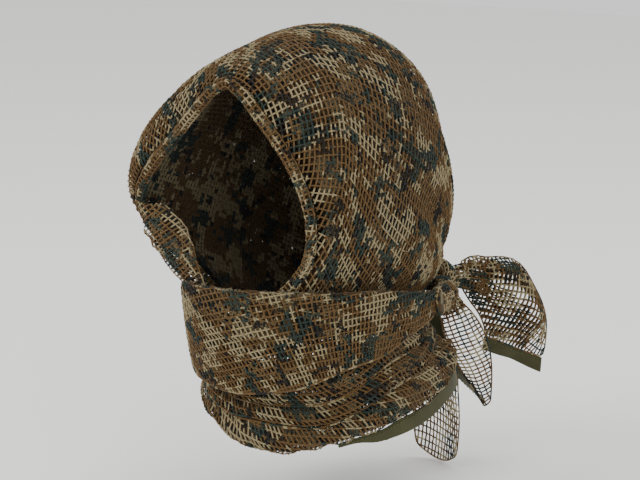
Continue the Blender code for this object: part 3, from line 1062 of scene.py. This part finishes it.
# %% Neck folds
TAPE_FLARE = 5 * MM  # how far the tape's rear end stands off, more than its solid does
FLARE_RUN = (-0.01, 0.065)  # from front to rear, in metres, where it comes to stand off


def skirt(points, normals, flat):
    """The collar's lower edge follows the tape outwards, on the wearer's left behind."""
    share, turn = share_across(points, "collar_fold")
    solid_flare = 6 * MM * ease(turn, math.radians(84), math.radians(142))
    more = TAPE_FLARE * ease(points[:, 1], *FLARE_RUN)
    at_tape = points[:, 0] > 0.02
    return outwards(points, normals) * ease(1 - share, 0.1, 1.0) * (solid_flare + more) * at_tape


def neck_creases(node, count, phase):
    """Creases that run along one neck fold and close up towards the knot."""
    def creases(points, normals, flat):
        share, turn = share_across(points, node)
        belly = np.sin(math.pi * np.clip(share, 0, 1)) ** 0.5
        run = bellies(count * share + 0.35 * np.sin(1.3 * turn + phase) + phase)
        fine = 0.4 * bellies(2.7 * count * share + 0.5 * np.sin(2.9 * turn + phase))
        hang = np.sin(2.3 * turn + 2 * phase) * np.sin(math.pi * share)
        ripple = outwards(points, normals) * MM * belly * (1.9 * (run + fine) + 1.3 * hang)
        moved = ripple + 1.4 * MM * belly
        return moved + (skirt(points, normals, flat) if node == "collar_fold" else 0.0)
    return creases


def neck_lattice(a, b):
    """Upright yarns that lean back towards the knot on the wearer's left."""
    lean = -0.25 - 0.55 * np.sin(9.0 * a + 0.9)
    return a + lean * b + 0.7 * MM * np.sin(80 * b), b + 1.0 * MM * np.sin(31 * a + 2)


NECK_LENGTH = ((-0.06, -0.03, -0.10), (0.06, -0.03, -0.10))
neck_pieces = (  # solid, creases, phase, place in the print
    ("chin_fold", 1.6, 0.3, (0.15, 0.55)),
    ("neck_fold", 1.9, 1.4, (0.42, 0.71)),
    ("collar_fold", 1.7, 2.6, (0.73, 0.33)),
)
for node, count, phase, place in neck_pieces:
    seed = (0, -0.2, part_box(node)[0][2])
    fold = worn_cloth(node, seed, FORWARDS, NECK_LENGTH, neck_creases(node, count, phase),
                      (0, 0, -1), slit=True)
    net = Net()
    weave(net, fold, neck_lattice, place, pitch=(3.4 * MM, 4.4 * MM))
    bind_edge(net, fold)
    finish_net(net, f"{node}_net", "net", "wrap", node, fold)
    dense_layers(f"{node}_inner_net", node, "wrap", seed, FORWARDS, NECK_LENGTH, (-1.6 * MM,),
                 True, skirt if node == "collar_fold" else None)

# %% [markdown]
# Inside the three folds the scarf's other turn lies flat against the neck. It closes the
# creases, where one would otherwise look straight through. Its distance from the middle of
# the neck is felt out from inside: a ray goes outwards until it meets a fold. Its print is
# darkened by half as painted shade.


# %% Inner turn round the neck
def inside_of(nodes, rows, around, gap):
    """Points on a ring that lies inside some solids, a gap away from them."""
    points, faces = [], []
    for node in nodes:
        start = sum(len(p) for p in points)
        mesh = frame["nodes"][node].data
        points.append(vertex_places(mesh))
        faces += [[start + v for v in face.vertices] for face in mesh.polygons]
    points = np.concatenate(points)
    tree = BVHTree.FromPolygons(points.tolist(), faces)
    bearing = np.arctan2(points[:, 0], -points[:, 1])
    turns = np.linspace(-math.pi, math.pi, around + 1)
    reach, height = np.zeros((around + 1, rows)), np.zeros((around + 1, rows))
    for i, turn in enumerate(turns):
        near = np.abs((bearing - turn + math.pi) % (2 * math.pi) - math.pi) < 0.2
        height[i] = np.linspace(points[near, 2].max() - 1 * MM, points[near, 2].min() + 1 * MM, rows)
        way = Vector((math.sin(turn), -math.cos(turn), 0.0))
        hits = [tree.ray_cast(Vector((0.0, 0.0, z)), way)[3] for z in height[i]]
        known = [k for k, hit in enumerate(hits) if hit is not None]
        reach[i] = np.interp(np.arange(rows), known, [hits[k] for k in known]) - gap
    shape = np.stack([reach, height])[:, :-1]
    for _ in range(4):
        shape = (np.roll(shape, 1, axis=1) + 2 * shape + np.roll(shape, -1, axis=1)) / 4
    reach, height = np.concatenate([shape, shape[:, :1]], axis=1)
    return np.stack([np.sin(turns)[:, None] * reach, -np.cos(turns)[:, None] * reach, height], axis=-1)


def grid_cloth(grid):
    """A Cloth on a grid of points, laid out by the mean distance between its rows."""
    rows, columns = grid.shape[:2]
    along, across = np.gradient(grid, axis=0), np.gradient(grid, axis=1)
    normals = np.cross(across, along)
    normals /= np.linalg.norm(normals, axis=2)[..., None]
    if (normals * grid)[..., :2].sum() < 0:
        normals = -normals
    steps = np.linalg.norm(np.diff(grid, axis=0), axis=2).mean(axis=1)
    rises = np.linalg.norm(np.diff(grid, axis=1), axis=2).mean(axis=0)
    places = np.meshgrid(np.concatenate([[0], np.cumsum(steps)]),
                         -np.concatenate([[0], np.cumsum(rises)]), indexing="ij")
    return Cloth(grid.reshape(-1, 3), normals.reshape(-1, 3), grid_triangles(rows, columns),
                 np.stack(places, axis=-1).reshape(-1, 2))


inner_turn = grid_cloth(inside_of([piece[0] for piece in neck_pieces], 12, 96, 2.2 * MM))
net = Net()
for number, lean in enumerate((0.15, -0.25)):
    weave(net, inner_turn, lambda a, b: (a + lean * b, b), (0.9, 0.7 * number), INNER_PITCH,
          4, INNER_THICKNESS, -1.4 * number * MM)
# the inner turn takes the inside net's print, darkened as painted shade
finish_net(net, "neck_inner_net", "net_inside", "wrap", "collar_fold", inner_turn)

# %% [markdown]
# The scarf's short edges are bound in a folded tape: two layers of ribbed tape with the net
# between them, closed by a row of lock stitches near the open edge. The tape's solid is
# rounded along its edges, and the stitches are drawn one by one.


# %% Hem tapes
def bound_tape(node, body, flare=0.0):
    """The tape of a solid, its edges rounded, with a slightly uneven surface. With flare,
    its rear end stands off outwards by that much."""
    piece = copy_of(node, f"{node}_ribbed")
    bevel = piece.modifiers.new("Round edges", "BEVEL")
    bevel.width, bevel.segments = 0.5 * MM, 2
    bevel.limit_method, bevel.angle_limit = "ANGLE", math.radians(50)
    bpy.ops.object.modifier_apply(modifier=bevel.name)
    fine = piece.modifiers.new("Fine", "SUBSURF")
    fine.levels = fine.render_levels = 2
    bpy.ops.object.modifier_apply(modifier=fine.name)
    mesh = piece.data
    for vertex in mesh.vertices:
        x, y, z = vertex.co
        ripple = math.sin(210 * x + 170 * y) * math.sin(240 * z + 60 * x)
        vertex.co += vertex.normal * 0.22 * MM * ripple
        vertex.co += Vector((x, y, 0.0)).normalized() * flare * float(ease(y, *FLARE_RUN))
    mesh.shade_smooth()
    mesh.materials.append(TAPE)
    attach(piece, body)
    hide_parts(node)
    print(piece.name, "has", len(mesh.polygons), "faces")


STITCH_STEP, STITCH_FROM_EDGE = 3.2 * MM, 1.6 * MM
THREAD_RADIUS = 0.26 * MM


def stitches(name, node, body, seed, facing, start, end):
    """A row of lock stitches on a tape's outer wall, near its upper edge."""
    tape = worn_cloth(node, seed, facing, (start, end), levels=1)
    net = Net()
    x = tape.low[0] + STITCH_STEP
    while x < tape.high[0] - STITCH_STEP:
        rows = [y for y in np.linspace(tape.low[1], tape.high[1], 60) if tape.at(x, y)]
        if rows:
            y = max(rows) - STITCH_FROM_EDGE
            ends = [tape.at(x + k * 0.34 * STITCH_STEP, y) for k in (-1, -0.4, 0.4, 1)]
            if all(ends):
                raised = (-0.05, 0.28, 0.28, -0.05)
                line = [p + n * (h * MM + 0.2 * MM) for (p, n), h in zip(ends, raised)]
                net.tube(line, [n for _, n in ends], THREAD_RADIUS, [(x, y)] * 4)
        x += STITCH_STEP
    piece = bpy.data.objects.new(name, net.mesh(name))
    show(piece, THREAD)
    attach(piece, body)
    print(name, "has", len(piece.data.polygons), "faces")


hems = (  # tape, its body, a place on its outer wall, the way that faces, along from and to
    ("neck_hem", "wrap", (0.09, 0.0, -0.14), (1, 0, 0), (0.05, -0.06, -0.15), (0.05, 0.07, -0.13)),
    ("upper_tail_hem", "upper_tail", (0.07, 0.14, -0.13), (0.7, -0.6, -0.1),
     (0.052, 0.131, -0.115), (0.08, 0.166, -0.135)),
    ("lower_tail_hem", "lower_tail", (0.03, 0.09, -0.12), (-0.2, -0.9, -0.4),
     (0.053, 0.131, -0.163), (0.031, 0.101, -0.085)),
)
for name, body, seed, facing, start, end in hems:
    node = "neck_hem_tape" if body == "wrap" else name
    bound_tape(node, body, TAPE_FLARE if body == "wrap" else 0.0)
    stitches(f"{name}_stitches", node, body, seed, facing, start, end)

# %% [markdown]
# The knot is a half hitch of gathered net: a core that runs outwards with the tails, and one
# turn round it. Both are lobed tubes of dense net over a closed core, like the rolls.

# %% Knot
TAIL_WAY = np.array([0.6, 0.8, 0.0])
KNOT_ROWS = 44  # rings of points along each of its tubes
knot_middle = np.array(KNOT)
turn = np.linspace(0, 2 * math.pi, 40)
across = np.cross(TAIL_WAY, [0, 0, 1.0])
loop_low, loop_high = (np.array(c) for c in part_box("knot_loop"))
LOOP_RADIUS = (loop_high[2] - loop_low[2]) / 2 - 4.0 * MM
ring = knot_middle + LOOP_RADIUS * (
    np.cos(turn)[:, None] * across + np.sin(turn)[:, None] * np.array([0, 0, 1.0])
) + TAIL_WAY * (1.2 * MM * np.sin(turn * 2))[:, None]
straight_core = knot_middle + TAIL_WAY * np.linspace(-11, 11, 16)[:, None] * MM
knot_tubes = (
    ("knot_core", straight_core, lambda s: (5.6 + 1.2 * abs(2 * s - 1)) * MM, 6),
    ("knot_loop", ring, lambda s: 4.6 * MM, 4),
)
for node, line, radius, lobes in knot_tubes:
    skin = tube_cloth(line, radius, KNOT_ROWS, around=36, lobes=lobes, depth=0.12, twist=4.0)
    net = Net()
    weave(net, skin, straight, (0.3, 0.9), pitch=(2.5 * MM, 2.8 * MM))
    finish_net(net, f"{node}_net", "net", "wrap", node, skin,
               core=core_under(skin, KNOT_ROWS, 0.8 * MM))

# %% [markdown]
# Past the knot the two ends hang free. The upper one opens like a fan, a single see-through
# layer at its outer side and folded several times by the knot, and the tape closes its lower
# edge. The lower one is a long triangle with the tape down its front edge. A third, plain
# corner hangs behind the neck.


# %% Tails
def pleats(centre, count, depth):
    """Soft pleats that fan out from a point, deepest near it."""
    middle = np.array(centre)

    def fold(points, normals, flat):
        away = points - middle
        reach = np.linalg.norm(away, axis=1)
        fan = np.arctan2(away[:, 2], np.hypot(away[:, 0], away[:, 1]))
        fade = 1 - 0.7 * ease(reach, 0.02, 0.08)
        return depth * fade * np.sin(count * fan + 14 * reach)
    return fold


TAIL_PITCH = (3.1 * MM, 5.0 * MM)  # pulled out of square, so the holes are tall
tail_roots = (  # tail, middle line out of the knot, radius and flatness along it
    ("upper_tail",
     np.array([KNOT, (0.042, 0.114, -0.066), (0.050, 0.123, -0.068), (0.057, 0.131, -0.070)]),
     lambda s: (6 + 5 * s) * MM, lambda s: 0.9 - 0.55 * s),
    ("lower_tail", np.array([KNOT, (0.036, 0.106, -0.080), (0.040, 0.110, -0.092)]),
     lambda s: (5 + 2.5 * s) * MM, lambda s: 0.9 - 0.4 * s),
)


def tail_lattice(a, b):
    """Loose net that has slipped a little out of square."""
    return (a + 0.06 * b + 1.1 * MM * np.sin(75 * b + 20 * a),
            b + 1.2 * MM * np.sin(66 * a + 0.5) + 0.5 * MM * np.sin(150 * a + 40 * b))


def near_knot(reach):
    """A test for the points of a tail that are no further than this from the knot."""
    return lambda point: np.linalg.norm(point - np.array(KNOT)) < reach


OUTWARD, BEHIND = (0.8, -0.55, 0.2), (0.1, 1.0, 0.0)
tails = (  # solid, facing, layout from and to, pleats, depth, print, each layer's reach, joint
    ("upper_tail", OUTWARD, (0.052, 0.131, -0.112), (0.080, 0.166, -0.131), 9, 1.6,
     (0.92, 0.05), (0.20, 0.084, 0.070, 0.052), (0.040, 0.113, -0.066), (0.048, 0.124, -0.068)),
    ("lower_tail", OUTWARD, (0.053, 0.131, -0.163), (0.031, 0.101, -0.085), 12, 1.0,
     (0.22, 0.62), (0.20, 0.030), (0.036, 0.106, -0.082), (0.040, 0.110, -0.096)),
    ("rear_flap", BEHIND, (0.010, 0.100, -0.200), (0.050, 0.095, -0.200), 8, 1.2,
     (0.66, 0.81), (0.20, 0.055), (0.028, 0.099, -0.114), (0.028, 0.101, -0.128)),
)
for node, facing, start, end, count, depth, place, layers, hinge, free in tails:
    low, high = (np.array(c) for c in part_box(node))
    seed = (low + high) / 2 + np.array(facing) * 0.03
    net = Net()
    for number, reach in enumerate(layers):
        folds = pleats(hinge, count + 3 * number, (depth + 0.5 * number) * MM)
        tail = worn_cloth(node, seed, facing, (start, end), folds)
        weave(net, tail, tail_lattice, (place[0] + 0.13 * number, place[1]), TAIL_PITCH,
              thickness=1.05 + 0.05 * number, lift=(-0.9 - 1.5 * number) * MM, keep=near_knot(reach))
        if number == 0:
            bind_edge(net, tail, 0.6 * MM)
    for root, line, thick, thin in tail_roots:
        if root == node:
            gathers = tube_cloth(line, thick, 24, around=36, lobes=7, depth=0.16, twist=1.5,
                                 flatten_to=thin)
            weave(net, gathers, straight, place, (2.8 * MM, 3.4 * MM))
    finish_net(net, f"{node}_net", "net", node, node, tail,
               root=(hinge, free))

# %% [markdown]
# ## Floor and light
#
# The mask stands over a plain pale floor in soft light: a large key light from the front left, a weak
# fill from the right and one from above and behind, as in a room with a bright ceiling. The lights are
# wide, because small ones would draw a hard shadow behind every yarn.


# %% Floor and light
bpy.ops.mesh.primitive_plane_add(size=6, location=(0, 0, -0.2025))
floor = bpy.context.object
floor.name = "floor"
paper, _ = new_material("matt_white_backdrop", Roughness=0.9, Base_Color=linear("#f4f4f2"))
floor.data.materials.append(paper)
world = bpy.data.worlds.new("studio")
bpy.context.scene.world = world
world.use_nodes = True
world.node_tree.nodes["Background"].inputs["Color"].default_value = (1, 1, 1, 1)
world.node_tree.nodes["Background"].inputs["Strength"].default_value = 1.0
lights = (  # name, place, width in metres, power in watts
    ("key", (-0.9, -1.5, 1.4), 0.9, 26),
    ("fill", (1.6, -0.9, 0.7), 1.4, 12),
    ("top", (0.2, 0.8, 1.8), 1.2, 12),
)
for name, place, size, power in lights:
    bpy.ops.object.light_add(type="AREA", location=place)
    light = bpy.context.object
    light.name = name
    light.data.energy, light.data.size = power, size
    light.rotation_euler = (AIM - Vector(place)).to_track_quat("-Z", "Y").to_euler()
